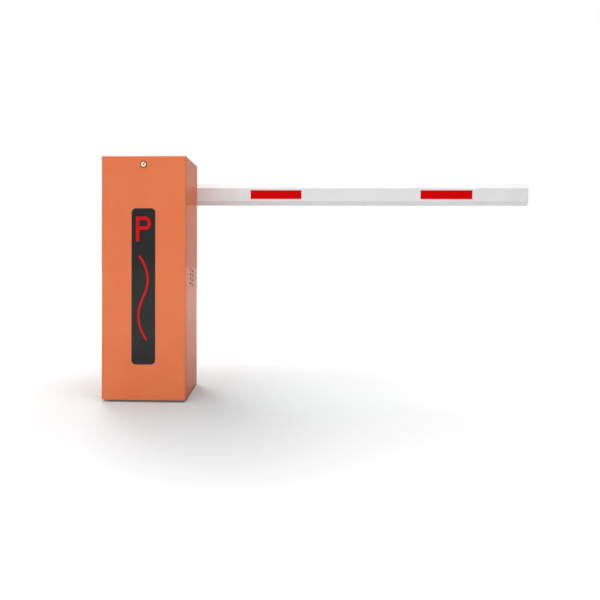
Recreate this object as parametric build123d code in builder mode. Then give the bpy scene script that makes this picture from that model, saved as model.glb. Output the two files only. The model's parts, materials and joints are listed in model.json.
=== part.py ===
import os
from math import cos, pi, sin

from build123d import *

os.makedirs("parts", exist_ok=True)

# Frame: X along the lowered boom, Y from the front door to the back, Z up, in millimetres.
# The origin is on the ground, at the centre of the cabinet's outline.

# Cabinet sizes
cabinet_width = 345
cabinet_depth = 285
cabinet_height = 1005
sheet = 2
bend_radius = 4
door_depth = 25
door_gap = 5
side_flange = 22
corner_radius = 3
cover_edge_radius = 1.4
rim_drop = 20

# Base plate sizes
base_thickness = 6
base_inset = 2
base_front_setback = 37.5
anchor_spacing_x = 240
anchor_spacing_y = 150
anchor_slot_length = 26
anchor_slot_width = 14
cable_opening_x = 150
cable_opening_y = 110
cable_collar_height = 18

# Side vents
vent_length = 32
vent_height = 6
vent_pitch = 20
vent_rows = 4
vent_columns = 2
vent_column_gap = 46
vent_front_column_y = -25.5
vent_top_z = 539

# Front door, display and lock
door_foot = 8
door_foot_return = 6
hinge_from_front = 15
hinge_foot_gap = 1
hinge_ear_radius = 8
hinge_pin_radius = 3.5
hinge_pin_play = 0.2
hinge_ear_x = 149
hinge_ear_thickness = 5
hinge_lug_thickness = 4
hinge_lug_gap = 2
hinge_pin_end = 3
hinge_arm_depth = 5
hinge_arm_grip = 30
side_return_chamfer = 12
stiffener_x = 105
stiffener_width = 30
stiffener_rise = 12
stiffener_foot_z = 90
stiffener_head_gap = 115
display_width = 98
display_below_top = 212.5
display_bottom = 154.5
display_corner = 18
display_margin = 9
display_box_bevel = 4
pane_rebate = 0.5
pane_play = 0.3
display_box_depth = 28
pane_thickness = 4
letter_height = 100.5
letter_width = 60.5
letter_stroke = 13
letter_below_display_top = 34.5
letter_bowl_height = 53
letter_bowl_radius = 24
figure_thickness = 0.6
wave_width = 8
wave_foot_gap = 100
wave_head_gap = 59.5
wave_bends = ((-17.2, 1), (18, 0.714), (0, 0.516), (-20.2, 0.292), (13.2, 0))
wave_slopes = ((0.75, -1), (0, -1), (-0.48, -1), (0, -1), (0.65, -1))
lock_below_top = 34
lock_ring_radius = 14
lock_head_radius = 11
lock_body_radius = 9.5
lock_body_length = 20
lock_play = 0.3
lock_ring_thickness = 1.5
lock_head_thickness = 3.5
lock_slot_width = 2
lock_slot_height = 8
lock_nut_radius = 14
lock_nut_thickness = 5
lock_cam_length = 42
lock_cam_width = 14
lock_cam_thickness = 3

# Boom
boom_axis_below_top = 125
boom_height = 100
boom_depth = 45
boom_bevel_height = 20
boom_bevel_depth = 15
boom_wall = 2
boom_root_x = -120
boom_tip_x = 1700
boom_behind_cabinet = 47.5
cap_thickness = 3
cap_plug_length = 25
cap_plug_play = 0.3
stripe_length = 238
stripe_height = 41
stripe_first_x = 416
stripe_pitch = 790
stripe_count = 2
stripe_thickness = 0.4

# Boom holder and main shaft
holder_length = 220
holder_wall = 6
holder_play = 0.5
clamp_hole_radius = 5.5
clamp_bolt_columns = 3
clamp_ear = 24
pressed_rib_rise = 2
pressed_rib_width = 12
hub_radius = 30
hub_flange_radius = 52
hub_flange_thickness = 10
hub_gap = 5.5
hub_rib_count = 2
hub_rib_reach = 48
hub_rib_width = 7
hub_rib_start = 14
shaft_radius = 15
shaft_play = 0.25
shaft_bevel = 1.5
shaft_hole_radius = 36
seal_play = 0.5
seal_overlap = 12
seal_thickness = 3

# Drive
upright_leg = 40
upright_thickness = 3
upright_head_gap = 44
drive_plate_thickness = 6
drive_plate_from_back = 64.5
drive_plate_side_gap = 5.5
drive_plate_height = 215
drive_plate_drop = 15
drive_plate_corner = 8
drive_plate_bore_play = 5
gearbox_width = 150
gearbox_height = 170
gearbox_depth = 78
gearbox_corner = 22
gearbox_flange = 14
drum_radius = 64
drum_rib_count = 6
drum_rib_rise = 5
drum_rib_width = 6
worm_x = 56
worm_radius = 32
gearbox_cover_radius = 56
gearbox_cover_thickness = 8
gearbox_cover_bevel = 2
motor_radius = 41
motor_length = 150
motor_flange_size = 78
motor_flange_corner = 8
motor_flange_thickness = 10
motor_gap = 3
motor_rib_count = 16
motor_rib_height = 4
motor_rib_width = 3
terminal_box_width = 36
terminal_box_depth = 56
terminal_box_height = 70
terminal_box_drop = 30
motor_cap_length = 34
motor_cap_overhang = 1
motor_cap_bevel = 5
bearing_flange_size = 92
bearing_flange_corner = 14
bearing_thickness = 12
bearing_boss_radius = 30
bearing_boss_length = 26
spring_radius = 33
spring_wire_radius = 3.5
spring_wire_sides = 6
spring_turns = 3
spring_pitch = 11.5
spring_cup_gap = 5.5
spring_cup_wall = 4
spring_cup_depth = 13

# Controls
panel_overlap = 19.5
panel_height = 330
panel_below_motor = 1
panel_corner = 5
control_unit_margin = 20
control_unit_corner = 6
control_unit_bevel = 3
control_unit_width = 210
control_unit_height = 130
control_unit_depth = 52
socket_pitch = 30
socket_count = 6
socket_gap = 5
socket_height = 12
socket_depth = 10
socket_rise = 16
rail_above_panel_foot = 90
rail_length = 260
rail_height = 35
rail_depth = 7.5
rail_lip = 5
rail_sheet = 1
breaker_x = -80
breaker_width = 54
breaker_height = 82
breaker_depth = 62
breaker_nose_height = 41
breaker_nose_depth = 18
terminal_x = 45
terminal_pitch = 8
terminal_count = 14
terminal_height = 50
terminal_depth = 36
terminal_row_gap = 30
terminal_hole_width = 5
terminal_hole_height = 8
terminal_hole_depth = 10

# Places worked out from the sizes
front_y = -cabinet_depth / 2
back_y = cabinet_depth / 2
side_x = cabinet_width / 2
cover_z = cabinet_height - sheet
door_top = cabinet_height
door_height = door_top - door_foot
side_front_y = front_y + door_depth + door_gap
side_back_y = back_y - sheet
hinge_y = front_y + hinge_from_front
hinge_z = door_foot + sheet + hinge_foot_gap + hinge_ear_radius
lip_x = side_x - sheet - door_gap
lip_front_y = front_y + sheet + door_gap
lip_foot_z = hinge_z + door_gap
lip_head_z = door_top - sheet - door_gap
lock_z = cabinet_height - lock_below_top
display_top = cabinet_height - display_below_top
display_height = display_top - display_bottom
display_centre_z = display_bottom + display_height / 2
letter_top = display_top - letter_below_display_top
letter_base_z = letter_top - letter_height
boom_axis_z = cabinet_height - boom_axis_below_top
boom_front_y = back_y + boom_behind_cabinet
boom_back_y = boom_front_y + boom_depth
drive_plate_front_y = back_y - drive_plate_from_back
upright_front_y = drive_plate_front_y + drive_plate_thickness


def save(part, name):
    part.label = name
    export_step(part, f"parts/{name}.step")


# Base plate, with four anchor slots and the opening for the buried cables
plate_back = back_y - base_inset
plate_front = front_y + base_front_setback
plate_middle = (plate_front + plate_back) / 2

with BuildPart() as base_plate:
    with BuildSketch():
        with Locations((0, plate_middle)):
            Rectangle(cabinet_width - 2 * base_inset, plate_back - plate_front)
        Rectangle(cable_opening_x, cable_opening_y, mode=Mode.SUBTRACT)
        with GridLocations(anchor_spacing_x, anchor_spacing_y, 2, 2):
            SlotOverall(anchor_slot_length, anchor_slot_width, mode=Mode.SUBTRACT)
    extrude(amount=base_thickness)
    with BuildSketch(Plane.XY.offset(base_thickness)):
        Rectangle(cable_opening_x + 2 * sheet, cable_opening_y + 2 * sheet)
        Rectangle(cable_opening_x, cable_opening_y, mode=Mode.SUBTRACT)
    extrude(amount=cable_collar_height)
save(base_plate.part, "base_plate")

# Side panels, each one folded sheet with a rain lip that stands inside the door
with BuildPart() as right_side:
    with BuildSketch(Plane.XY.offset(base_thickness)):
        with BuildLine() as side_line:
            FilletPolyline(
                (side_x - side_flange, side_back_y - sheet / 2),
                (side_x - sheet / 2, side_back_y - sheet / 2),
                (side_x - sheet / 2, side_front_y + sheet / 2),
                (lip_x - sheet / 2, side_front_y + sheet / 2),
                (lip_x - sheet / 2, lip_front_y),
                radius=corner_radius - sheet / 2,
            )
        trace(side_line.line, line_width=sheet)
    extrude(amount=cover_z - base_thickness)
    with BuildSketch(Plane.YZ.offset(lip_x - 2 * sheet)):
        with BuildLine():
            Polyline(
                (side_front_y, base_thickness),
                (side_front_y, lip_foot_z),
                (front_y, lip_foot_z),
                (front_y, base_thickness),
                close=True,
            )
        make_face()
        with BuildLine():
            Polyline(
                (side_front_y, lip_head_z),
                (side_front_y, cover_z),
                (front_y, cover_z),
                (front_y, lip_head_z),
                close=True,
            )
        make_face()
    extrude(amount=side_flange, mode=Mode.SUBTRACT)
    for column in range(vent_columns):
        column_y = vent_front_column_y + column * vent_column_gap
        column_z = vent_top_z - column * vent_pitch / 2
        with BuildSketch(Plane.YZ.offset(side_x - 2 * sheet)):
            for row in range(vent_rows):
                with Locations((column_y, column_z - row * vent_pitch)):
                    SlotOverall(vent_length, vent_height)
        extrude(amount=3 * sheet, mode=Mode.SUBTRACT)
save(right_side.part, "right_side")

with BuildPart() as left_side:
    add(mirror(right_side.part, about=Plane.YZ))
save(left_side.part, "left_side")

# Back panel with the hole for the main shaft
back_panel_height = cover_z - base_thickness

with BuildPart() as back_panel:
    with BuildSketch(Plane.XZ.offset(-back_y)):
        with Locations((0, base_thickness + back_panel_height / 2)):
            RectangleRounded(cabinet_width, back_panel_height, corner_radius)
        with Locations((0, boom_axis_z)):
            Circle(shaft_hole_radius, mode=Mode.SUBTRACT)
    extrude(amount=sheet)
save(back_panel.part, "back_panel")

# Top cover, a flat sheet with a locating rim under it
rim_x = cabinet_width - 2 * sheet
rim_front = side_front_y + 2 * sheet
rim_back = side_back_y - sheet
rim_middle = (rim_front + rim_back) / 2

with BuildPart() as top_cover:
    with BuildSketch(Plane.XY.offset(cover_z)):
        with Locations((0, (side_front_y + back_y) / 2)):
            Rectangle(cabinet_width, back_y - side_front_y)
    extrude(amount=sheet)
    fillet(top_cover.edges().group_by(Axis.Z)[-1], cover_edge_radius)
    with BuildSketch(Plane.XY.offset(cover_z)):
        with Locations((0, rim_middle)):
            RectangleRounded(rim_x, rim_back - rim_front, bend_radius)
            Rectangle(rim_x - 2 * sheet, rim_back - rim_front - 2 * sheet, mode=Mode.SUBTRACT)
    extrude(amount=-rim_drop)
save(top_cover.part, "top_cover")

# Front rail behind the head of the door: a rain gutter, and the strike for the lock's cam
rail_drop = 70
rail_play = 0.5
strike_width = 46
strike_depth = 7
strike_z = lock_z - 34
rail_y = side_front_y + sheet

with BuildPart() as front_rail:
    with BuildSketch(Plane.XZ.offset(-(rail_y + sheet))):
        with Locations((0, cover_z - rail_drop / 2)):
            Rectangle(2 * (side_x - bend_radius - rail_play), rail_drop)
    extrude(amount=sheet)
    with BuildSketch(Plane.XY.offset(lip_head_z)):
        with Locations((0, (lip_front_y + rail_y) / 2)):
            Rectangle(2 * (lip_x - sheet - rail_play), rail_y - lip_front_y)
    extrude(amount=-sheet)
    with BuildSketch(Plane.YZ.offset(-strike_width / 2)):
        with BuildLine() as strike_line:
            Polyline(
                (rail_y, strike_z),
                (rail_y - sheet - strike_depth, strike_z),
                (rail_y - sheet - strike_depth, strike_z + 2 * strike_depth),
            )
        trace(strike_line.line, line_width=sheet)
    extrude(amount=strike_width)
save(front_rail.part, "front_rail")

# Door hinge brackets on the base plate, each with its pin
bracket_back = plate_front + hinge_arm_grip
lug_outer_x = hinge_ear_x - hinge_ear_thickness / 2 - hinge_lug_gap
pin_inner_x = lug_outer_x - hinge_lug_thickness - hinge_pin_end

with BuildPart() as right_hinge_bracket:
    with BuildSketch(Plane.YZ.offset(hinge_ear_x - hinge_ear_thickness / 2)):
        with Locations((hinge_y, hinge_z)):
            Circle(hinge_ear_radius)
        with BuildLine():
            Polyline(
                (hinge_y, hinge_z + hinge_ear_radius),
                (bracket_back, hinge_z + hinge_ear_radius),
                (bracket_back, base_thickness),
                (plate_front, base_thickness),
                (plate_front, hinge_z - hinge_arm_depth),
                (hinge_y, hinge_z - hinge_arm_depth),
                close=True,
            )
        make_face()
    extrude(amount=hinge_ear_thickness)
    with BuildSketch(Plane.YZ.offset(pin_inner_x)):
        with Locations((hinge_y, hinge_z)):
            Circle(hinge_pin_radius)
    extrude(amount=hinge_ear_x - pin_inner_x)
save(right_hinge_bracket.part, "right_hinge_bracket")

with BuildPart() as left_hinge_bracket:
    add(mirror(right_hinge_bracket.part, about=Plane.YZ))
save(left_hinge_bracket.part, "left_hinge_bracket")

# Front door, a shallow pan that wraps the front of the cabinet
with BuildPart() as door_panel:
    with BuildSketch(Plane.XY.offset(door_foot)):
        with Locations((0, front_y + door_depth / 2)):
            Rectangle(cabinet_width, door_depth)
    extrude(amount=door_height)
    fillet(door_panel.faces().sort_by(Axis.Y)[0].edges(), bend_radius)
    with BuildSketch(Plane.XY.offset(door_foot + sheet)):
        with Locations((0, front_y + sheet + door_depth / 2)):
            Rectangle(cabinet_width - 2 * sheet, door_depth)
    extrude(amount=door_height - 2 * sheet, mode=Mode.SUBTRACT)
    with BuildSketch(Plane.XY.offset(door_foot)):
        with Locations((0, front_y + sheet + door_foot_return + door_depth / 2)):
            Rectangle(cabinet_width - 2 * sheet, door_depth)
    extrude(amount=2 * sheet, mode=Mode.SUBTRACT)
    with BuildSketch(Plane.YZ.offset(-side_x)):
        with BuildLine():
            Polyline(
                (front_y + door_depth, door_foot),
                (front_y + door_depth, door_foot + side_return_chamfer),
                (front_y + door_depth - side_return_chamfer, door_foot),
                close=True,
            )
        make_face()
    extrude(amount=cabinet_width, mode=Mode.SUBTRACT)
    with BuildSketch(Plane.XZ.offset(-front_y)):
        with Locations((0, display_centre_z)):
            RectangleRounded(display_width, display_height, display_corner)
        with Locations((0, lock_z)):
            Circle(lock_body_radius + lock_play)
    extrude(amount=-2 * sheet, mode=Mode.SUBTRACT)
save(door_panel.part, "door_panel")

# Two stiffening channels on the inside of the door
with BuildPart() as door_stiffeners:
    with BuildSketch(Plane.XY.offset(stiffener_foot_z)):
        with Locations((-stiffener_x, front_y + sheet), (stiffener_x, front_y + sheet)):
            Rectangle(
                stiffener_width, stiffener_rise, align=(Align.CENTER, Align.MIN)
            )
            Rectangle(
                stiffener_width - 2 * sheet,
                stiffener_rise - sheet,
                align=(Align.CENTER, Align.MIN),
                mode=Mode.SUBTRACT,
            )
    extrude(amount=door_top - stiffener_head_gap - stiffener_foot_z)
save(door_stiffeners.part, "door_stiffeners")

# Door lugs that turn on the hinge pins
with BuildPart() as right_door_lug:
    with BuildSketch(Plane.YZ.offset(lug_outer_x - hinge_lug_thickness)):
        with BuildLine():
            Polyline(
                (hinge_y, hinge_z - hinge_ear_radius),
                (front_y + sheet, hinge_z - hinge_ear_radius),
                (front_y + sheet, hinge_z + 3 * hinge_ear_radius),
                (hinge_y - hinge_ear_radius / 2, hinge_z + 3 * hinge_ear_radius),
                (hinge_y, hinge_z + hinge_ear_radius),
                close=True,
            )
        make_face()
        with Locations((hinge_y, hinge_z)):
            Circle(hinge_ear_radius)
            Circle(hinge_pin_radius + hinge_pin_play, mode=Mode.SUBTRACT)
    extrude(amount=hinge_lug_thickness)
save(right_door_lug.part, "right_door_lug")

with BuildPart() as left_door_lug:
    add(mirror(right_door_lug.part, about=Plane.YZ))
save(left_door_lug.part, "left_door_lug")

# Display: a closed black box behind the door, and the dark pane that fills the cut-out
pane_seat_width = display_width - 2 * pane_rebate
pane_seat_height = display_height - 2 * pane_rebate

with BuildPart() as display_box:
    with BuildSketch(Plane.XZ.offset(-(front_y + sheet))):
        with Locations((0, display_centre_z)):
            RectangleRounded(
                display_width + 2 * display_margin,
                display_height + 2 * display_margin,
                display_corner,
            )
    extrude(amount=-display_box_depth)
    with BuildSketch(Plane.XZ.offset(-(front_y + sheet))):
        with Locations((0, display_centre_z)):
            RectangleRounded(pane_seat_width, pane_seat_height, display_corner)
    extrude(amount=-(pane_thickness - sheet), mode=Mode.SUBTRACT)
    chamfer(display_box.faces().sort_by(Axis.Y)[-1].edges(), display_box_bevel)
save(display_box.part, "display_box")

with BuildPart() as display_pane:
    with BuildSketch(Plane.XZ.offset(-front_y)):
        with Locations((0, display_centre_z)):
            RectangleRounded(
                pane_seat_width - 2 * pane_play,
                pane_seat_height - 2 * pane_play,
                display_corner - pane_play,
            )
    extrude(amount=-pane_thickness)
save(display_pane.part, "display_pane")

# Lit parking letter on the pane
letter_left = -letter_width / 2

with BuildPart() as display_letter:
    with BuildSketch(Plane.XZ.offset(-front_y)):
        with Locations((letter_left + letter_stroke / 2, letter_base_z + letter_height / 2)):
            Rectangle(letter_stroke, letter_height)
        with Locations((0, letter_top - letter_bowl_height / 2)):
            Rectangle(letter_width, letter_bowl_height)
            Rectangle(
                letter_width - 2 * letter_stroke,
                letter_bowl_height - 2 * letter_stroke,
                mode=Mode.SUBTRACT,
            )
    extrude(amount=figure_thickness)
    upright_edges = display_letter.edges().filter_by(Axis.Y)
    bowl_edges = upright_edges.group_by(Axis.X)[-1]
    hole_edges = upright_edges.group_by(Axis.X)[-2]
    fillet(bowl_edges, letter_bowl_radius)
    fillet(hole_edges, letter_bowl_radius - letter_stroke)
save(display_letter.part, "display_letter")

# Lit wavy line below the letter
wave_foot_z = display_bottom + wave_foot_gap
wave_height = letter_base_z - wave_head_gap - wave_foot_z
wave_points = [(x, wave_foot_z + share * wave_height) for x, share in wave_bends]

with BuildPart() as display_wave:
    with BuildSketch(Plane.XZ.offset(-front_y)):
        with BuildLine() as wave_line:
            Spline(*wave_points, tangents=wave_slopes)
        trace(wave_line.line, line_width=wave_width)
    extrude(amount=figure_thickness)
save(display_wave.part, "display_wave")

# Lock: ring and barrel in the door, cam behind it turned to its open side
with BuildPart() as lock_ring:
    with BuildSketch(Plane.XZ.offset(-front_y)):
        with Locations((0, lock_z)):
            Circle(lock_ring_radius)
            Circle(lock_body_radius + lock_play, mode=Mode.SUBTRACT)
    extrude(amount=lock_ring_thickness)
    chamfer(lock_ring.faces().sort_by(Axis.Y)[0].edges(), 0.5)
save(lock_ring.part, "lock_ring")

with BuildPart() as lock_barrel:
    with BuildSketch(Plane.XZ.offset(-(front_y - lock_ring_thickness))):
        with Locations((0, lock_z)):
            Circle(lock_head_radius)
    extrude(amount=lock_head_thickness - lock_ring_thickness)
    chamfer(lock_barrel.faces().sort_by(Axis.Y)[0].edges(), 0.6)
    with BuildSketch(Plane.XZ.offset(-(front_y - lock_ring_thickness))):
        with Locations((0, lock_z)):
            Circle(lock_body_radius)
    extrude(amount=-(lock_ring_thickness + lock_body_length))
    with BuildSketch(Plane.XZ.offset(-(front_y - lock_head_thickness))):
        with Locations((0, lock_z)):
            Rectangle(lock_slot_width, lock_slot_height)
    extrude(amount=-lock_head_thickness, mode=Mode.SUBTRACT)
save(lock_barrel.part, "lock_barrel")

with BuildPart() as lock_nut:
    with BuildSketch(Plane.XZ.offset(-(front_y + sheet))):
        with Locations((0, lock_z)):
            RegularPolygon(lock_nut_radius, 6)
            Circle(lock_body_radius + lock_play, mode=Mode.SUBTRACT)
    extrude(amount=-lock_nut_thickness)
save(lock_nut.part, "lock_nut")

with BuildPart() as lock_cam:
    with BuildSketch(Plane.XZ.offset(-(front_y + lock_body_length))):
        with Locations((lock_cam_length / 2 - lock_cam_width / 2, lock_z)):
            SlotOverall(lock_cam_length, lock_cam_width)
    extrude(amount=-lock_cam_thickness)
save(lock_cam.part, "lock_cam")

# Uprights that carry the drive, one folded angle in each rear corner
upright_top_z = cabinet_height - upright_head_gap

with BuildPart() as right_upright:
    with BuildSketch(Plane.XY.offset(base_thickness)):
        with BuildLine() as upright_line:
            FilletPolyline(
                (side_x - sheet - upright_leg, upright_front_y + upright_thickness / 2),
                (side_x - sheet - upright_thickness / 2, upright_front_y + upright_thickness / 2),
                (side_x - sheet - upright_thickness / 2, side_back_y - sheet - bend_radius),
                radius=upright_thickness,
            )
        trace(upright_line.line, line_width=upright_thickness)
    extrude(amount=upright_top_z - base_thickness)
save(right_upright.part, "right_upright")

with BuildPart() as left_upright:
    add(mirror(right_upright.part, about=Plane.YZ))
save(left_upright.part, "left_upright")

# Drive plate between the uprights
drive_plate_width = cabinet_width - 2 * (sheet + drive_plate_side_gap)

with BuildPart() as drive_plate:
    with BuildSketch(Plane.XZ.offset(-upright_front_y)):
        with Locations((0, boom_axis_z - drive_plate_drop)):
            RectangleRounded(drive_plate_width, drive_plate_height, drive_plate_corner)
        with Locations((0, boom_axis_z)):
            Circle(shaft_radius + drive_plate_bore_play, mode=Mode.SUBTRACT)
    extrude(amount=drive_plate_thickness)
save(drive_plate.part, "drive_plate")

# Gearbox on the front of the drive plate: a drum for the worm wheel, a column for the worm
gearbox_front_y = drive_plate_front_y - gearbox_depth
gearbox_foot_z = boom_axis_z - gearbox_height / 2
worm_y = drive_plate_front_y - motor_radius - motor_gap

with BuildPart() as gearbox:
    with BuildSketch(Plane.XZ.offset(-drive_plate_front_y)):
        with Locations((0, boom_axis_z)):
            RectangleRounded(gearbox_width, gearbox_height, gearbox_corner)
    extrude(amount=gearbox_flange)
    with BuildSketch(Plane.XZ.offset(-(drive_plate_front_y - gearbox_flange))):
        with Locations((0, boom_axis_z)):
            Circle(drum_radius)
            with PolarLocations(drum_radius, drum_rib_count):
                Rectangle(2 * drum_rib_rise, drum_rib_width)
    extrude(amount=gearbox_depth - gearbox_flange)
    with BuildSketch(Plane.XY.offset(gearbox_foot_z)):
        with Locations((worm_x, worm_y)):
            Circle(worm_radius)
    extrude(amount=gearbox_height)
    with BuildSketch(Plane.XY.offset(gearbox_foot_z)):
        with Locations((worm_x, worm_y)):
            RectangleRounded(motor_flange_size, motor_flange_size, motor_flange_corner)
    extrude(amount=motor_flange_thickness)
    with BuildSketch(Plane.XZ.offset(-drive_plate_front_y)):
        with Locations((0, boom_axis_z)):
            Circle(shaft_radius + shaft_play)
    extrude(amount=gearbox_depth, mode=Mode.SUBTRACT)
save(gearbox.part, "gearbox")

with BuildPart() as gearbox_cover:
    with BuildSketch(Plane.XZ.offset(-gearbox_front_y)):
        with Locations((0, boom_axis_z)):
            Circle(gearbox_cover_radius)
            Circle(shaft_radius + shaft_play, mode=Mode.SUBTRACT)
    extrude(amount=gearbox_cover_thickness)
    chamfer(gearbox_cover.faces().sort_by(Axis.Y)[0].edges().sort_by(SortBy.LENGTH)[-1], gearbox_cover_bevel)
save(gearbox_cover.part, "gearbox_cover")

# Motor hung under the worm column, ribbed, with its terminal box on the right
motor_top_z = gearbox_foot_z
motor_barrel_z = motor_top_z - motor_flange_thickness
motor_core_radius = motor_radius - motor_rib_height

with BuildPart() as motor:
    with BuildSketch(Plane.XY.offset(motor_top_z)):
        with Locations((worm_x, worm_y)):
            RectangleRounded(motor_flange_size, motor_flange_size, motor_flange_corner)
    extrude(amount=-motor_flange_thickness)
    with BuildSketch(Plane.XY.offset(motor_barrel_z)):
        with Locations((worm_x, worm_y)):
            Circle(motor_core_radius)
            with PolarLocations(motor_core_radius, motor_rib_count):
                Rectangle(2 * motor_rib_height, motor_rib_width)
    extrude(amount=-motor_length)
    with BuildSketch(Plane.XY.offset(motor_barrel_z - terminal_box_drop)):
        with Locations((worm_x + motor_core_radius + terminal_box_width / 2, worm_y)):
            Rectangle(terminal_box_width, terminal_box_depth)
    extrude(amount=-terminal_box_height)
save(motor.part, "motor")

motor_foot_z = motor_barrel_z - motor_length

with BuildPart() as motor_cap:
    with BuildSketch(Plane.XY.offset(motor_foot_z)):
        with Locations((worm_x, worm_y)):
            Circle(motor_core_radius + motor_cap_overhang)
    extrude(amount=-motor_cap_length)
    chamfer(motor_cap.faces().sort_by(Axis.Z)[0].edges(), motor_cap_bevel)
save(motor_cap.part, "motor_cap")

# Main shaft through the gearbox, its bearing and the back panel
hub_back_y = boom_front_y - holder_wall - holder_play
hub_front_y = back_y + hub_gap
spring_back_y = gearbox_front_y - gearbox_cover_thickness - spring_wire_radius
spring_length = spring_turns * spring_pitch
spring_front_y = spring_back_y - spring_length - spring_wire_radius
cup_front_y = spring_front_y - spring_cup_gap - spring_cup_wall

with BuildPart() as main_shaft:
    with BuildSketch(Plane.XZ.offset(-cup_front_y)):
        with Locations((0, boom_axis_z)):
            Circle(shaft_radius)
    extrude(amount=-(hub_back_y - cup_front_y))
    chamfer(main_shaft.faces().sort_by(Axis.Y)[0].edges(), shaft_bevel)
save(main_shaft.part, "main_shaft")

with BuildPart() as shaft_bearing:
    with BuildSketch(Plane.XZ.offset(-upright_front_y)):
        with Locations((0, boom_axis_z)):
            RectangleRounded(bearing_flange_size, bearing_flange_size, bearing_flange_corner)
    extrude(amount=-bearing_thickness)
    with BuildSketch(Plane.XZ.offset(-(upright_front_y + bearing_thickness))):
        with Locations((0, boom_axis_z)):
            Circle(bearing_boss_radius)
    extrude(amount=-(bearing_boss_length - bearing_thickness))
    with BuildSketch(Plane.XZ.offset(-upright_front_y)):
        with Locations((0, boom_axis_z)):
            Circle(shaft_radius + shaft_play)
    extrude(amount=-bearing_boss_length, mode=Mode.SUBTRACT)
save(shaft_bearing.part, "shaft_bearing")

# Seal plate inside the back panel, around the shaft
with BuildPart() as shaft_seal:
    with BuildSketch(Plane.XZ.offset(-side_back_y)):
        with Locations((0, boom_axis_z)):
            Circle(shaft_hole_radius + seal_overlap)
            Circle(shaft_radius + seal_play, mode=Mode.SUBTRACT)
    extrude(amount=seal_thickness)
save(shaft_seal.part, "shaft_seal")

# Balance spring around the front end of the shaft
with BuildPart() as balance_spring:
    with BuildLine() as coil_line:
        Helix(
            spring_pitch,
            spring_length,
            spring_radius,
            center=(0, spring_back_y, boom_axis_z),
            direction=(0, -1, 0),
        )
    with BuildSketch(Plane(coil_line.line @ 0, z_dir=coil_line.line % 0)):
        RegularPolygon(spring_wire_radius, spring_wire_sides)
    sweep(path=coil_line.line, is_frenet=True)
save(balance_spring.part, "balance_spring")

# Cup on the shaft that the front end of the spring pulls on
cup_inner_radius = spring_radius + spring_wire_radius + spring_cup_gap

with BuildPart() as spring_cup:
    with BuildSketch(Plane.XZ.offset(-cup_front_y)):
        with Locations((0, boom_axis_z)):
            Circle(cup_inner_radius + spring_cup_wall)
            Circle(shaft_radius, mode=Mode.SUBTRACT)
    extrude(amount=-spring_cup_depth)
    with BuildSketch(Plane.XZ.offset(-(cup_front_y + spring_cup_wall))):
        with Locations((0, boom_axis_z)):
            Circle(cup_inner_radius)
    extrude(amount=-spring_cup_depth, mode=Mode.SUBTRACT)
save(spring_cup.part, "spring_cup")

# Control panel, unit, rail and breaker below the motor
panel_y = upright_front_y - sheet
panel_top_z = motor_foot_z - motor_cap_length - panel_below_motor
panel_bottom_z = panel_top_z - panel_height
panel_width = cabinet_width - 2 * (sheet + upright_leg - panel_overlap)

with BuildPart() as control_panel:
    with BuildSketch(Plane.XZ.offset(-upright_front_y)):
        with Locations((0, panel_bottom_z + panel_height / 2)):
            RectangleRounded(panel_width, panel_height, panel_corner)
    extrude(amount=sheet)
save(control_panel.part, "control_panel")

control_unit_top_z = panel_top_z - control_unit_margin
control_unit_z = control_unit_top_z - control_unit_height / 2
control_unit_front_y = panel_y - control_unit_depth
socket_z = control_unit_z - control_unit_height / 2 + socket_rise

with BuildPart() as control_unit:
    with BuildSketch(Plane.XZ.offset(-panel_y)):
        with Locations((0, control_unit_z)):
            RectangleRounded(control_unit_width, control_unit_height, control_unit_corner)
    extrude(amount=control_unit_depth)
    chamfer(control_unit.faces().sort_by(Axis.Y)[0].edges(), control_unit_bevel)
    with BuildSketch(Plane.XZ.offset(-control_unit_front_y)):
        with Locations((0, socket_z)):
            with GridLocations(socket_pitch, socket_height, socket_count, 1):
                Rectangle(socket_pitch - socket_gap, socket_height)
    extrude(amount=-socket_depth, mode=Mode.SUBTRACT)
save(control_unit.part, "control_unit")

# Mounting rail with the circuit breaker and the terminals
rail_z = panel_bottom_z + rail_above_panel_foot
rail_low_z = rail_z - rail_height / 2
rail_high_z = rail_z + rail_height / 2
rail_face_y = panel_y - rail_depth
rail_web_y = panel_y - rail_sheet / 2
rail_lip_y = rail_face_y + rail_sheet / 2

with BuildPart() as mounting_rail:
    with BuildSketch(Plane.YZ.offset(-rail_length / 2)):
        with BuildLine() as rail_line:
            Polyline(
                (rail_lip_y, rail_low_z),
                (rail_lip_y, rail_low_z + rail_lip),
                (rail_web_y, rail_low_z + rail_lip),
                (rail_web_y, rail_high_z - rail_lip),
                (rail_lip_y, rail_high_z - rail_lip),
                (rail_lip_y, rail_high_z),
            )
        trace(rail_line.line, line_width=rail_sheet)
    extrude(amount=rail_length)
save(mounting_rail.part, "mounting_rail")

with BuildPart() as circuit_breaker:
    with BuildSketch(Plane.XZ.offset(-rail_face_y)):
        with Locations((breaker_x, rail_z)):
            Rectangle(breaker_width, breaker_height)
    extrude(amount=breaker_depth - breaker_nose_depth)
    with BuildSketch(Plane.XZ.offset(-rail_face_y)):
        with Locations((breaker_x, rail_z)):
            Rectangle(breaker_width, breaker_nose_height)
    extrude(amount=breaker_depth)
save(circuit_breaker.part, "circuit_breaker")

with BuildPart() as terminal_strip:
    with BuildSketch(Plane.XZ.offset(-rail_face_y)):
        with Locations((terminal_x, rail_z)):
            Rectangle(terminal_pitch * terminal_count, terminal_height)
    extrude(amount=terminal_depth)
    with BuildSketch(Plane.XZ.offset(-(rail_face_y - terminal_depth))):
        with Locations((terminal_x, rail_z)):
            with GridLocations(terminal_pitch, terminal_row_gap, terminal_count, 2):
                Rectangle(terminal_hole_width, terminal_hole_height)
    extrude(amount=-terminal_hole_depth, mode=Mode.SUBTRACT)
save(terminal_strip.part, "terminal_strip")

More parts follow.
